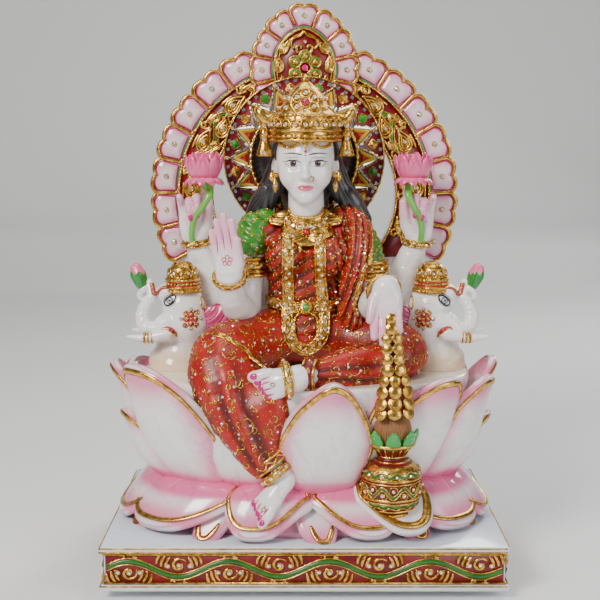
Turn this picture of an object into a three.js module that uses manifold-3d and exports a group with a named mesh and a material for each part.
// A marble figure of a seated four-armed goddess on a lotus throne, with two elephants, an overflowing pot
// and a pierced halo. Millimetres, +Z up. The figure looks along -Y, and +X is on the right of someone
// facing it.
// The origin is the centre of the plinth's underside.
import * as THREE from "three";
import { mergeVertices } from "three/addons/utils/BufferGeometryUtils.js";
import Module from "manifold-3d";

const wasm = await Module();
wasm.setup();

// ---------- Driving dimensions ----------
const GAP = 0.35; // the glue line between neighbouring pieces

const PLINTH = { width: 266, depth: 174, height: 30, lip: 4, recess: 2 };

const WAIST = { z: 62, halfWidth: 97, halfDepth: 59 }; // where the two rings of petals meet
const SEAT = { z: 130, halfWidth: 113, halfDepth: 71 };
const RIM = { z: 137, halfWidth: 127, halfDepth: 77 }; // tips of the rising petals
const SKIRT = { z: 36, halfWidth: 128, halfDepth: 83 }; // tips of the drooping petals

const HEAD = { y: -1, z: 271, halfWidth: 20, halfDepth: 23, halfHeight: 24 };
const WRIST_RADIUS = 8.5;
const REAR_WRIST = { x: 77.5, y: 20, z: 217 };
const HELD_LOTUS = { x: 73, shift: 3, y: 8, z: 257 };

const HALO = {
  y: 46,
  thickness: 14,
  z: 250,
  radius: 109.5,
  opening: { z: 250, radius: 66.5 },
  endZ: 205,
  footWidth: 124,
  footZ: SEAT.z + GAP,
  petals: 23,
  pointsPerPetal: 5,
  scallop: 3.5,
};
const CREST = { halfWidth: 38.5, shoulderZ: 341, topZ: 385.5 };
const DISC = { y: 38, thickness: 7, z: 277, radius: 57.8 };

const SKIRT_ANGLES = [-79, -49, -16, 15, 49, 79];
const RISING_PETALS = [
  { name: "front_centre", degrees: 6.5, width: 76, tipZ: 138 },
  { name: "front_left", degrees: -50, width: 94, tipZ: 142 },
  { name: "front_right", degrees: 44, width: 86, tipZ: 136 },
  { name: "low_left", degrees: -19, width: 78, tipZ: 114 },
  { name: "low_right", degrees: 25, width: 54, tipZ: 134 },
  { name: "outer_right", degrees: 66, width: 80, tipZ: 132 },
  { name: "side_left", degrees: -88, width: 92, tipZ: 134 },
  { name: "side_right", degrees: 94, width: 92, tipZ: 134 },
];
const KALASH = { x: 57, y: -66, footZ: 47 };
const ELEPHANT = { x: 87, shift: 2, y: 4, z: 173 };

// ---------- Materials ----------
const paint = (color, roughness = 0.3, metalness = 0) =>
  new THREE.MeshStandardMaterial({ color, roughness, metalness });
const MARBLE = paint(0xf3ece6, 0.2);
const PINK_MARBLE = paint(0xf2c6d2, 0.2);
const GOLD = paint(0xc9962e, 0.28, 0.9);
const RED_ENAMEL = paint(0xb3201c, 0.25);
const GREEN_ENAMEL = paint(0x1d7f2c, 0.25);
const HAIR_BLACK = paint(0x14120f, 0.35);
const FLOWER_PINK = paint(0xe8559a, 0.3);
const COIR_BROWN = paint(0x6b3a1e, 0.55);
const STEEL = paint(0x9a9da0, 0.3, 1);

// ---------- Geometry helpers ----------
// How far outside their own surface shapes are made. It is zero except while a cutter is being made.
let swell = 0;

const v = (x, y, z) => new THREE.Vector3(x, y, z);
const BACK = v(0, 1, 0);
const UP = v(0, 0, 1);

// The value at a share (0 to 1) of a list of numbers or [across, deep] pairs spread evenly.
function along(list, share) {
  const place = share * (list.length - 1);
  const low = Math.min(Math.floor(place), list.length - 2);
  const mix = (k) => {
    const [a, b] = [list[low], list[low + 1]].map((entry) => (Array.isArray(entry) ? entry[k] : entry));
    return a + (b - a) * (place - low);
  };
  return [mix(0), mix(1)];
}

// Moves each vertex of a unit sphere to where `place(share, side, deep)` says. Share runs from pole to pole,
// and side and deep are the point's place on its ring.
function warpedBall(segments, rings, place) {
  const ball = new THREE.SphereGeometry(1, segments, rings);
  const spots = ball.attributes.position;
  for (let i = 0; i < spots.count; i += 1) {
    const spot = v(0, 0, 0).fromBufferAttribute(spots, i);
    const share = Math.acos(THREE.MathUtils.clamp(spot.y, -1, 1)) / Math.PI;
    const ring = Math.hypot(spot.x, spot.z) || 1;
    const moved = place(share, spot.x / ring, spot.z / ring);
    spots.setXYZ(i, moved.x, moved.y, moved.z);
  }
  return ball;
}

// How full a ring is near a rounded end that takes up `part` of the length at each end.
function endFullness(share, part) {
  const near = Math.min(share, 1 - share) / part;
  return near >= 1 ? 1 : Math.sqrt(Math.max(0, 1 - (1 - near) ** 2));
}

// A closed skin with rounded ends round a curve through `points`. `radii` are spread evenly along it, each a
// number or an [across, deep] pair, and `deepwards` is the direction of the second one.
function limb(points, radii, { around = 10, rings = 8, deepwards = BACK, ends = 0.14 } = {}) {
  const curve = new THREE.CatmullRomCurve3(points);
  return warpedBall(around, rings, (share, side, deep) => {
    const tangent = curve.getTangent(share);
    const across = deepwards.clone().cross(tangent).normalize();
    const inward = tangent.clone().cross(across);
    const [wide, thick] = along(radii, share);
    const full = endFullness(share, ends);
    const beyond = share < 0.5 ? -swell : swell;
    return curve
      .getPoint(share)
      .addScaledVector(tangent, beyond * (1 - full))
      .addScaledVector(across, side * (wide + swell) * full)
      .addScaledVector(inward, deep * (thick + swell) * full);
  });
}

function ball(centre, x, y, z, segments, rings) {
  return new THREE.SphereGeometry(1, segments, rings)
    .rotateX(Math.PI / 2)
    .scale(x + swell, y + swell, z + swell)
    .translate(centre.x, centre.y, centre.z);
}

// A solid of revolution about +Z from [radius, height] pairs, stretched to half widths in X and Y.
function turned(profile, segments = 20, squash = 1) {
  const heights = profile.map(([, height]) => height);
  const middle = (Math.min(...heights) + Math.max(...heights)) / 2;
  const stretch = 1 + swell / (Math.max(...heights) - middle);
  const outline = profile.map(([radius, height]) => {
    const wide = radius && radius + swell / squash;
    return new THREE.Vector2(wide, middle + (height - middle) * stretch);
  });
  return new THREE.LatheGeometry(outline, segments).rotateX(Math.PI / 2).scale(1, squash, 1);
}

// A ring of round wire whose middle line has the given half widths, facing along `axis`.
function ring(centre, axis, halfWidth, halfDepth, wire, segments = 18) {
  const turn = new THREE.Quaternion().setFromUnitVectors(UP, axis.clone().normalize());
  const size = (halfWidth + halfDepth) / 2;
  return new THREE.TorusGeometry(1, wire + swell / Math.min(halfWidth, halfDepth), 6, segments)
    .scale(halfWidth, halfDepth, size)
    .applyMatrix4(new THREE.Matrix4().compose(centre, turn, v(1, 1, 1)));
}

// A flat shape in X and Z, `thickness` deep, whose front face is at `front`.
function slab(shape, front, thickness, curveSegments = 16) {
  const plate = new THREE.ExtrudeGeometry(shape, { depth: thickness, bevelEnabled: false, curveSegments })
    .rotateX(Math.PI / 2)
    .translate(0, front + thickness, 0);
  if (swell === 0) return plate;
  plate.computeBoundingBox();
  const centre = plate.boundingBox.getCenter(v(0, 0, 0));
  const half = plate.boundingBox.getSize(v(0, 0, 0)).multiplyScalar(0.5);
  return plate
    .translate(-centre.x, -centre.y, -centre.z)
    .scale(1 + swell / half.x, 1 + swell / half.y, 1 + swell / half.z)
    .translate(centre.x, centre.y, centre.z);
}

// A lotus petal: a shell round a curve from root to tip, widest at `belly` of its length and hollow by `cup`
// towards `inward`.
function petal(points, inward, { width, thickness = 5, cup = 6, belly = 0.5, around = 10, rings = 7 }) {
  const curve = new THREE.CatmullRomCurve3(points);
  const peak = Math.log(0.5) / Math.log(belly);
  return warpedBall(around, rings, (share, side, deep) => {
    const tangent = curve.getTangent(share);
    const across = inward.clone().cross(tangent).normalize();
    const hollow = tangent.clone().cross(across);
    const full = Math.sin(Math.PI * share ** peak) ** 0.8;
    const lift = cup * (side * (1 + (2 * swell) / width)) ** 2 * full;
    const beyond = share < 0.5 ? -swell : swell;
    return curve
      .getPoint(share)
      .addScaledVector(tangent, beyond * (1 - full))
      .addScaledVector(across, side * (width / 2 + swell) * full)
      .addScaledVector(hollow, deep * (thickness / 2 + swell) * Math.min(1, 2 * full) + lift);
  });
}

// ---------- Solids ----------
function toSolid(geometry) {
  const bare = new THREE.BufferGeometry().setAttribute("position", geometry.getAttribute("position"));
  bare.setIndex(geometry.index);
  const merged = mergeVertices(bare, 1e-3);
  const { array } = merged.attributes.position;
  return new wasm.Manifold(
    new wasm.Mesh({ numProp: 3, vertProperties: array, triVerts: new Uint32Array(merged.index.array) }),
  );
}

function toGeometry(solid) {
  const { vertProperties, triVerts, numProp } = solid.getMesh();
  const count = vertProperties.length / numProp;
  const spots = new Float32Array(count * 3);
  for (let i = 0; i < count; i += 1) {
    spots.set(vertProperties.subarray(i * numProp, i * numProp + 3), i * 3);
  }
  return new THREE.BufferGeometry()
    .setAttribute("position", new THREE.BufferAttribute(spots, 3))
    .setIndex(new THREE.BufferAttribute(triVerts, 1));
}

function joined(...shapes) {
  return toGeometry(shapes.map(toSolid).reduce((whole, piece) => whole.add(piece)));
}

function cut(shape, ...tools) {
  return toGeometry(tools.map(toSolid).reduce((left, tool) => left.subtract(tool), toSolid(shape)));
}

// What `make` makes, a glue line larger all round.
function cutterOf(make) {
  const exact = toSolid(make());
  swell = GAP;
  const larger = toSolid(make());
  swell = 0;
  return larger.add(exact);
}

// ---------- Plinth ----------
function plinth() {
  const { width, depth, height, lip, recess } = PLINTH;
  const step = (inset, tall, low) =>
    new THREE.BoxGeometry(width + 2 * (swell - inset), depth + 2 * (swell - inset), tall + 2 * swell)
      .translate(0, 0, low + tall / 2);
  return joined(step(0, lip, 0), step(recess, height - lip, lip / 2), step(0, lip, height - lip));
}

// ---------- Lotus throne ----------
// The block under the seat, carved in one with the petals at the back.
function lotusCore() {
  const foot = PLINTH.height + GAP;
  const profile = [
    [0, foot],
    [SKIRT.halfWidth - 14, foot],
    [SKIRT.halfWidth - 18, foot + 5],
    [WAIST.halfWidth - 2, WAIST.z - 14],
    [WAIST.halfWidth - 6, WAIST.z],
    [SEAT.halfWidth - 2, (WAIST.z + SEAT.z) / 2],
    [SEAT.halfWidth - 2, SEAT.z],
    [0, SEAT.z],
  ];
  const block = turned(profile, 24, SEAT.halfDepth / SEAT.halfWidth);
  const rising = [140, 180, 220].map((degrees) => risingPetal(degrees, 96, 132));
  const drooping = [110, 145, 180, 215, 250].map((degrees) => droopingPetal(degrees, 76, -3));
  return joined(block, ...rising, ...drooping);
}

// A point at `degrees` round an ellipse, counted from the front towards +X.
function onEllipse({ halfWidth, halfDepth }, degrees, z, outwards = 0) {
  const angle = THREE.MathUtils.degToRad(degrees);
  return v((halfWidth + outwards) * Math.sin(angle), -(halfDepth + outwards) * Math.cos(angle), z);
}

function risingPetal(degrees, width = 92, tipZ = RIM.z) {
  const middleZ = (WAIST.z + tipZ) / 2;
  const points = [
    onEllipse(WAIST, degrees, WAIST.z - 2, -3),
    onEllipse(WAIST, degrees, middleZ - 16, 13),
    onEllipse(RIM, degrees, middleZ + 14, -5),
    onEllipse(RIM, degrees, tipZ, -2),
  ];
  const inwards = onEllipse(WAIST, degrees + 180, 0);
  return petal(points, inwards, { width, thickness: 6, cup: width / 7, belly: 0.5 });
}

function droopingPetal(degrees, width = 66, reach = 0) {
  const points = [
    onEllipse(WAIST, degrees, WAIST.z - 4, -4),
    onEllipse(WAIST, degrees, WAIST.z - 12, 12),
    onEllipse(SKIRT, degrees, SKIRT.z + 6, reach - 8),
    onEllipse(SKIRT, degrees, SKIRT.z, reach),
  ];
  const down = onEllipse(WAIST, degrees + 180, -60);
  return petal(points, down, { width, thickness: 6, cup: 3, belly: 0.62 });
}

// ---------- Figure ----------
function head() {
  const skull = ball(v(1, HEAD.y, HEAD.z), HEAD.halfWidth, HEAD.halfDepth, HEAD.halfHeight, 16, 12);
  const neck = limb([v(1, 7, 232), v(1, 5, 243), v(1, 4, 256)], [14, 11.5, 11.5], { rings: 5 });
  return joined(skull, neck);
}

function crown() {
  const profile = [
    [0, 0],
    [24, 0],
    [25.5, 4],
    [24.5, 12],
    [22.5, 16],
    [15.5, 24],
    [11, 32],
    [5, 38],
    [0, 41],
  ];
  return turned(profile, 20, 1.02).translate(1, HEAD.y, HEAD.z + 19);
}

function crownTassel(side) {
  const profile = [
    [0, 0],
    [3, 0],
    [4.6, 4],
    [2.4, 9],
    [2.8, 13],
    [4.6, 18],
    [3, 22],
    [0, 22.5],
  ];
  return turned(profile, 10).translate(side * 29.5 + 1, HEAD.y - 1, HEAD.z + 8);
}

function hair() {
  const path = [v(1, 14, 236), v(1, 17, 264), v(1, 14, 294)];
  return limb(path, [[35, 12], [33, 15], [20, 12]], { around: 12, rings: 8 });
}

function torso() {
  const spine = [v(2, 10, 140), v(3, 8, 176), v(2, 5, 206), v(1, 9, 240)];
  const radii = [[30, 21], [26, 19], [27, 17], [29, 19], [31, 21], [37, 17], [22, 12]];
  return limb(spine, radii, { around: 14, rings: 12, ends: 0.07 });
}

function necklace() {
  const collar = ring(v(0.5, 1, 238), v(0, -0.62, 0.8), 18, 18, 0.2);
  const drop = [v(0.5, -14, 235), v(0.5, -18, 227), v(0.5, -19, 219)];
  return joined(collar, limb(drop, [[9, 4], [7, 4], [2, 2]], { rings: 7 }));
}

// A double string that hangs from the collar to the lap.
function longGarland() {
  const radii = [[4.5, 3], [3.7, 3], [3.7, 3], [4, 3]];
  const strand = (side) => {
    const high = [v(side * 13, -15, 226), v(side * 11, -18, 200)];
    const path = [...high, v(side * 12, -26, 170), v(side * -3, -42, 147)];
    return limb(path, radii, { around: 8, rings: 12, ends: 0.04 });
  };
  return joined(strand(-1), strand(1));
}

const waistBelt = () => ring(v(3, 8, 175), UP, 27.5, 20, 0.16, 22);

function sleeve(side) {
  const path = [v(side * 27 + 2, 10, 238), v(side * 35 + 2, 8, 222), v(side * 37 + 3, 3, 203)];
  return limb(path, [10, 12, 12, 10.5], { rings: 8, ends: 0.12 });
}

// Four fingers side by side from their knuckles to their tips, the middle ones longest.
function fingers(knuckles, tips, radius) {
  const count = 4;
  return Array.from({ length: count }, (_, i) => {
    const across = i / (count - 1) - 0.5;
    const spread = v(across * 13, 0, 0);
    const tip = tips.clone().lerp(knuckles, 0.32 * Math.abs(across)).addScaledVector(spread, 0.9);
    return limb([knuckles.clone().add(spread), tip], [radius, radius * 0.8], { around: 6, rings: 4 });
  });
}

// An arm that bends at the elbow, with a flat palm past the wrist.
function bentArm(shoulder, elbow, bend, wrist, palmEnd, thickness) {
  const upper = limb([shoulder, elbow, bend], [thickness, thickness, thickness - 0.5], { rings: 8 });
  const middle = bend.clone().lerp(wrist, 0.5).add(v(0, -2, -3));
  const forePath = [elbow.clone().lerp(bend, 0.8), middle, wrist];
  const fore = limb(forePath, [thickness, thickness - 1, WRIST_RADIUS], { rings: 8 });
  const palmStart = wrist.clone().lerp(palmEnd, -0.4);
  const palmPath = [palmStart, wrist.clone().lerp(palmEnd, 0.4), palmEnd];
  const palm = limb(palmPath, [[8, 7], [10.5, 5.5], [9, 4.5]], { rings: 8 });
  return [upper, fore, palm];
}

// The hand on the -X side, raised with its palm to the front.
function blessingArm() {
  const knuckles = v(-53, -35, 217);
  const parts = bentArm(v(-39, 4, 206), v(-42, 2, 186), v(-44, -5, 172), v(-50, -31, 196), knuckles, 11.5);
  const thumbPath = [v(-44, -33, 205), v(-41.5, -36, 214), v(-42, -37, 221)];
  const thumb = limb(thumbPath, [3.2, 2.4], { around: 6, rings: 5 });
  return joined(...parts, thumb, ...fingers(v(-52, -34.5, 212), v(-56.5, -37, 242), 2.8));
}

// The hand on the +X side, held out over the pot with its fingers down.
function givingArm() {
  const knuckles = v(54.5, -47, 172);
  const parts = bentArm(v(42, 4, 206), v(46, 0, 186), v(47, -11, 177), v(54, -37, 192), knuckles, 11.5);
  return joined(...parts, ...fingers(v(54.5, -46, 177), v(54.5, -53, 158), 2.8));
}

// A rear arm bends at the elbow beside the waist and rises to hold a lotus.
function rearArm(side) {
  const { x, y, z } = REAR_WRIST;
  const lean = side > 0 ? 3 : 0;
  const atHand = (dy, dz) => v(side * x + lean, y + dy, z + dz);
  const upperPath = [v(side * 34, 18, 212), v(side * 48, 22, 192), v(side * 57, 24, 172)];
  const upper = limb(upperPath, [12, 12.5, 12.5], { rings: 8 });
  const fore = limb([v(side * 57, 24, 172), v(side * 68 + lean, 24, 190), atHand(0, 3)], [12.5, 12.5, 8.5], {
    rings: 9,
  });
  const palm = limb([atHand(0, -4), atHand(-3, 15), atHand(-5, 31)], [[8, 7], [11, 6], [8, 5]], { rings: 7 });
  return joined(upper, fore, palm);
}

function heldLotus(side) {
  const { x, shift, y, z } = HELD_LOTUS;
  const middle = side * x + shift;
  const path = [v(middle + side * 9, 10, 224), v(middle + side * 3, 2, 243), v(middle - side * 2, 6, 260)];
  const stem = limb(path, [2.3, 2.6, 3], { around: 8, rings: 6 });
  const cup = turned([[0, 0], [13.4, 2], [9.2, 7], [9.6, 10], [13.6, 23], [10, 22], [0, 18]], 16);
  return joined(stem, cup.translate(middle, y, z));
}

// The cloth over the lap, down the hanging leg and round the folded one.
function lapSari() {
  const hips = ball(v(2, 12, 151), 46, 30, 19, 12, 8);
  const apron = ball(v(-25, -58, 112), 17, 17, 25, 10, 7);
  const detail = { around: 10, rings: 8, ends: 0.2 };
  const thighLeft = limb([v(-12, 6, 153), v(-34, -14, 149), v(-55, -40, 143)], [19, 21, 23], detail);
  const shinLeft = limb([v(-55, -38, 144), v(-49, -54, 120), v(-30, -66, 86)], [22, 23, 19, 13], detail);
  const thighRight = limb([v(12, 6, 153), v(42, -5, 150), v(68, -24, 145)], [18, 19, 19], detail);
  const shinRight = limb([v(66, -26, 144), v(46, -42, 141), v(10, -57, 139)], [18, 15.5, 14, 10], detail);
  const knees = [ball(v(-54, -37, 144), 22, 21, 21, 12, 8), ball(v(67, -23, 145), 19.5, 18, 18.5, 12, 8)];
  return joined(hips, apron, thighLeft, shinLeft, thighRight, shinRight, ...knees);
}

const foot = (path) => limb(path, [[7, 7.5], [8.5, 6], [9, 4.5], [7, 3]], { rings: 9 });
const hangingFoot = () => foot([v(-22, -67, 83), v(-15, -70, 72), v(-20, -75, 60), v(-32, -80, 49)]);
const foldedFoot = () => foot([v(8, -62, 139), v(-4, -67, 138), v(-17, -71, 135), v(-30, -73, 132)]);

// ---------- Pot of plenty ----------
const atKalash = (shape) => shape.translate(KALASH.x, KALASH.y, KALASH.footZ);

// The petal the pot stands on, raised a little above its neighbours.
const potTray = () => droopingPetal(26.5, 52, 1);

function kalashPot() {
  const profile = [
    [0, 0],
    [13, 1],
    [18, 9],
    [19.8, 19],
    [18.2, 29],
    [9.8, 37],
    [8.8, 39],
    [15, 47],
    [12, 48.5],
    [0, 47],
  ];
  return atKalash(turned(profile, 22));
}

const mangoLeaves = () => atKalash(turned([[0, 46], [11, 47], [17.5, 57], [15.5, 58], [0, 56]], 16));

function coconut() {
  const profile = [[0, 47], [10, 47.5], [12.9, 56], [11.8, 62], [9, 67], [5, 70], [0, 71.4]];
  return atKalash(turned(profile, 16));
}

function coinCascade() {
  const path = [v(55.4, -65, 178), v(56.6, -71, 155), v(57.6, -76, 138), v(57.6, -77, 117)];
  return limb(path, [[4, 3], [7, 4], [8.5, 4.5], [12.5, 5.5]], { around: 10, rings: 12, ends: 0.06 });
}

// ---------- Elephants ----------
function elephant(side) {
  const { x, shift, y, z } = ELEPHANT;
  const at = (dx, dy, dz) => v(side * (x + dx) + shift, y + dy, z + dz);
  const skull = ball(at(0, 0, 0), 15.6, 14.5, 16.5, 12, 8);
  const forehead = ball(at(9.6, -2, 11), 7.6, 9, 7, 8, 6);
  const neckRadii = [[14, 14], [16, 16], [21, 19]];
  const neck = limb([at(-2, 0, -8), at(-1, 2, -24), at(2, 3, -44)], neckRadii, { rings: 8 });
  const trunk = limb(
    [at(9, -7, -10), at(19, -9, -14.2), at(27.5, -8, -10), at(27.5, -5, 0), at(24, -2, 9), at(24.6, 0, 17.5)],
    [8, 6.2, 5.2, 4.8, 4.2, 3],
    { rings: 12, around: 8, ends: 0.08 },
  );
  const tusk = (dy) => {
    const path = [at(8, dy, -16), at(22, dy - 1, -18.5), at(37.5, dy, -17.8)];
    return limb(path, [4.5, 3.2, 1.4], { around: 6, rings: 6 });
  };
  const ear = ball(at(-23, 0, -8), 10.4, 3.4, 11, 8, 6);
  return joined(skull, forehead, neck, trunk, tusk(-17), tusk(11), ear);
}

function elephantCap(side) {
  const { x, shift, y, z } = ELEPHANT;
  const profile = [
    [0, 0],
    [12, 0],
    [12.4, 3],
    [11, 9],
    [9.8, 14],
    [6.6, 20],
    [0, 22.4],
  ];
  return turned(profile, 16, 1.05).translate(side * x + shift, y - 1, z + 11);
}

function lotusBud(side) {
  const { x, shift, y, z } = ELEPHANT;
  const at = (dx, dz) => v(side * (x + dx) + shift, y - 1, z + dz);
  const radii = [1.8, 4.8, 5.4, 2.4];
  return limb([at(28.2, 12), at(31, 20), at(33.6, 29.5)], radii, { around: 10, rings: 8, ends: 0.2 });
}

// ---------- Halo ----------
// Points along the smooth line the halo's petals stand on, from the right foot over the crest to the left.
function haloSpine() {
  const path = new THREE.Path();
  const low = Math.asin((HALO.endZ - HALO.z) / HALO.radius);
  const high = Math.acos((CREST.halfWidth - 1) / HALO.radius);
  path.absarc(0, HALO.z, HALO.radius, low, high, false);
  path.bezierCurveTo(CREST.halfWidth + 6, CREST.topZ - 20, CREST.halfWidth * 0.6, CREST.topZ, 0, CREST.topZ);
  const half = path.getSpacedPoints((HALO.petals * HALO.pointsPerPetal - 1) / 2 | 0);
  const mirrored = half.slice(0, -1).reverse().map((spot) => new THREE.Vector2(-spot.x, spot.y));
  return [...half, ...mirrored];
}

function haloOutline() {
  const spine = haloSpine();
  const edge = spine.map((spot, i) => {
    const before = spine[Math.max(i - 1, 0)];
    const after = spine[Math.min(i + 1, spine.length - 1)];
    const outwards = new THREE.Vector2(after.y - before.y, before.x - after.x).normalize();
    const bulge = Math.abs(Math.sin((Math.PI * HALO.petals * i) / (spine.length - 1)));
    return spot.clone().addScaledVector(outwards, HALO.scallop * (bulge - 1));
  });
  const foot = [-1, 1].map((side) => new THREE.Vector2((side * HALO.footWidth) / 2, HALO.footZ));
  return new THREE.Shape([...foot, ...edge]);
}

function haloSlab() {
  const plate = slab(haloOutline(), HALO.y, HALO.thickness, 16);
  const opening = new THREE.Shape().absarc(0, HALO.opening.z, HALO.opening.radius, 0, 2 * Math.PI, false);
  const hole = slab(opening, HALO.y - 1, HALO.thickness + 2, 18);
  const behindDisc = new THREE.Shape().absarc(0, DISC.z, DISC.radius - 4, 0, 2 * Math.PI, false);
  const kept = slab(behindDisc, HALO.y - 2, HALO.thickness + 4, 16);
  return cut(plate, cut(hole, kept));
}

function haloCrest() {
  const { halfWidth, shoulderZ } = CREST;
  const low = DISC.z + DISC.radius + 2;
  const wide = halfWidth * 0.56;
  const shape = new THREE.Shape();
  shape.moveTo(-wide, low);
  shape.lineTo(wide, low);
  shape.bezierCurveTo(wide + 2, shoulderZ, wide * 0.75, CREST.topZ - 20, 0, CREST.topZ - 17);
  shape.bezierCurveTo(-wide * 0.75, CREST.topZ - 20, -wide - 2, shoulderZ, -wide, low);
  return slab(shape, HALO.y - 4, 4 - GAP, 8);
}

const sunDisc = () =>
  slab(new THREE.Shape().absarc(0, DISC.z, DISC.radius, 0, 2 * Math.PI, false), DISC.y, DISC.thickness, 20);

function haloDowel(side) {
  const shape = new THREE.CylinderGeometry(3, 3, 30, 12);
  return shape.rotateX(Math.PI / 2).translate(side * 44, HALO.y + HALO.thickness / 2, HALO.footZ);
}

// ---------- Assembly ----------
// Earlier pieces keep their shape, and each later one is cut back to leave the glue line round them.
const SIDES = [
  ["left", -1],
  ["right", 1],
];
const pairs = (name, make, material, group) =>
  SIDES.map(([word, side]) => ({ name: `${name}_${word}`, make: () => make(side), material, group }));

const bangle = (centre, axis, radius) => ring(centre, axis, radius, radius, 0.22, 16);
const frontBangleLeft = () => bangle(v(-50.3, -30, 199), v(-0.05, -0.55, 0.83), 10.6);
const frontBangleRight = () => bangle(v(53, -35, 190.5), v(0.05, -0.92, -0.2), 10.6);
const ankletHanging = () => bangle(v(-17.5, -69.5, 75.5), v(-0.62, 0.15, 0.77), 10.6);
const ankletFolded = () => bangle(v(-12, -70, 137.2), v(1, 0.18, 0.12), 10.6);

function rearBangle(side) {
  const { x, y, z } = REAR_WRIST;
  return bangle(v(side * x + (side > 0 ? 3 : 0), y, z), v(side * 0.1, 0, 1), 9.4);
}

const pieces = [
  { name: "plinth", make: plinth, material: MARBLE, group: "base" },
  ...pairs("halo_dowel", haloDowel, STEEL, "halo"),
  { name: "crown", make: crown, material: GOLD, group: "deity" },
  ...pairs("crown_tassel", crownTassel, GOLD, "deity"),
  { name: "necklace", make: necklace, material: GOLD, group: "deity" },
  { name: "bangle_front_left", make: frontBangleLeft, material: GOLD, group: "deity" },
  { name: "bangle_front_right", make: frontBangleRight, material: GOLD, group: "deity" },
  ...pairs("bangle_rear", rearBangle, GOLD, "deity"),
  { name: "anklet_hanging", make: ankletHanging, material: GOLD, group: "deity" },
  { name: "anklet_folded", make: ankletFolded, material: GOLD, group: "deity" },
  { name: "coin_cascade", make: coinCascade, material: GOLD, group: "kalash" },
  { name: "pot_tray", make: potTray, material: PINK_MARBLE, group: "kalash" },
  { name: "kalash_pot", make: kalashPot, material: RED_ENAMEL, group: "kalash" },
  { name: "coconut", make: coconut, material: COIR_BROWN, group: "kalash" },
  { name: "mango_leaves", make: mangoLeaves, material: GREEN_ENAMEL, group: "kalash" },
  ...pairs("elephant_cap", elephantCap, GOLD, "elephants"),
  ...pairs("lotus_bud", lotusBud, GREEN_ENAMEL, "elephants"),
  ...pairs("held_lotus", heldLotus, FLOWER_PINK, "deity"),
  { name: "head", make: head, material: MARBLE, group: "deity" },
  ...pairs("sleeve", sleeve, GREEN_ENAMEL, "deity"),
  { name: "foot_hanging", make: hangingFoot, material: MARBLE, group: "deity" },
  { name: "foot_folded", make: foldedFoot, material: MARBLE, group: "deity" },
  { name: "long_garland", make: longGarland, material: GOLD, group: "deity" },
  { name: "waist_belt", make: waistBelt, material: GOLD, group: "deity" },
  { name: "torso", make: torso, material: RED_ENAMEL, group: "deity" },
  { name: "arm_front_left", make: blessingArm, material: MARBLE, group: "deity" },
  { name: "arm_front_right", make: givingArm, material: MARBLE, group: "deity" },
  ...pairs("arm_rear", rearArm, MARBLE, "deity"),
  { name: "lap_sari", make: lapSari, material: RED_ENAMEL, group: "deity" },
  { name: "sun_disc", make: sunDisc, material: RED_ENAMEL, group: "halo" },
  { name: "halo_crest", make: haloCrest, material: GOLD, group: "halo" },
  { name: "hair", make: hair, material: HAIR_BLACK, group: "deity" },
  ...pairs("elephant", elephant, MARBLE, "elephants"),
  { name: "halo_slab", make: haloSlab, material: PINK_MARBLE, group: "halo" },
  ...RISING_PETALS.map(({ name, degrees, width, tipZ }) => ({
    name: `petal_${name}`,
    make: () => risingPetal(degrees, width, tipZ),
    material: PINK_MARBLE,
    group: "lotus",
  })),
  ...SKIRT_ANGLES.map((degrees, i) => ({
    name: `skirt_petal_${i + 1}`,
    make: () => droopingPetal(degrees),
    material: PINK_MARBLE,
    group: "lotus",
  })),
  { name: "lotus_core", make: lotusCore, material: MARBLE, group: "lotus" },
];

function boxesMeet(a, b) {
  return a.clone().expandByScalar(2 * GAP).intersectsBox(b);
}

const largest = (solid) => solid.decompose().sort((a, b) => b.volume() - a.volume())[0];

const statue = new THREE.Group();
const groups = new Map();
const placed = [];
for (const { name, make, material, group } of pieces) {
  const shape = make();
  shape.computeBoundingBox();
  const neighbours = placed.filter(({ box }) => boxesMeet(box, shape.boundingBox));
  const solid = neighbours.reduce((left, { cutter }) => left.subtract(cutter), toSolid(shape));
  const geometry = toGeometry(largest(solid));
  geometry.computeBoundingBox();
  const centre = geometry.boundingBox.getCenter(v(0, 0, 0));
  const mesh = new THREE.Mesh(geometry.translate(-centre.x, -centre.y, -centre.z), material);
  mesh.name = name;
  mesh.position.copy(centre);
  if (!groups.has(group)) {
    groups.set(group, new THREE.Group());
    statue.add(groups.get(group));
  }
  groups.get(group).add(mesh);
  placed.push({ box: shape.boundingBox.clone(), cutter: cutterOf(make) });
}

export default statue;
